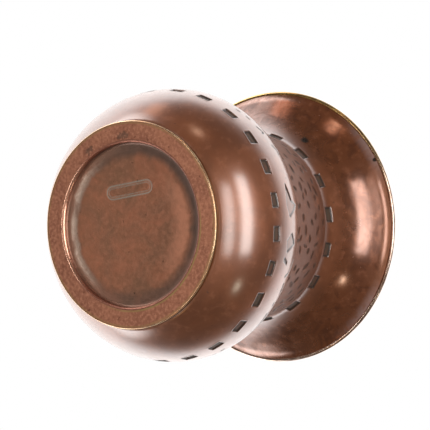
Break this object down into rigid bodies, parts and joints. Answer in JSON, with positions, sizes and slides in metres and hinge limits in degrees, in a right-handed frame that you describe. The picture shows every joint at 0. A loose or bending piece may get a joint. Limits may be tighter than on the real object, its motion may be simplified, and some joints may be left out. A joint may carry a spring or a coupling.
{
  "type": "flared copper vase bowl",
  "caption": "Spun copper vessel with a squat round body, a waisted neck, a trumpet rim with a brass bead, and a low flat foot.",
  "frame": {"origin": "middle of the foot's flat face, on the vessel's axis", "axes": "+Z along the vessel's axis, from the foot to the mouth; X and Y are free"},
  "size_m": [0.1208, 0.1208, 0.1136],
  "materials": {
    "copper_body": "polished copper with a brown patina, etched recesses darkened",
    "copper_neck": "polished copper with a brown patina, etched marks darkened grey green",
    "copper_foot": "satin copper with small dark spots",
    "copper_lip": "bright rubbed copper",
    "copper_patina": "satin copper with dark patina towards its edge",
    "brass_edge": "rubbed brass",
    "braze": "brass filler, as brazed"
  },
  "bodies": {
    "root": {"foot_plate": "copper_foot", "foot_band": "brass_edge", "recess_lip": "copper_lip", "base_disc": "copper_patina", "bowl_body": "copper_body", "flared_neck": "copper_neck", "rim_bead": "brass_edge", "neck_braze": "braze", "base_braze": "braze"}
  },
  "joints": []
}
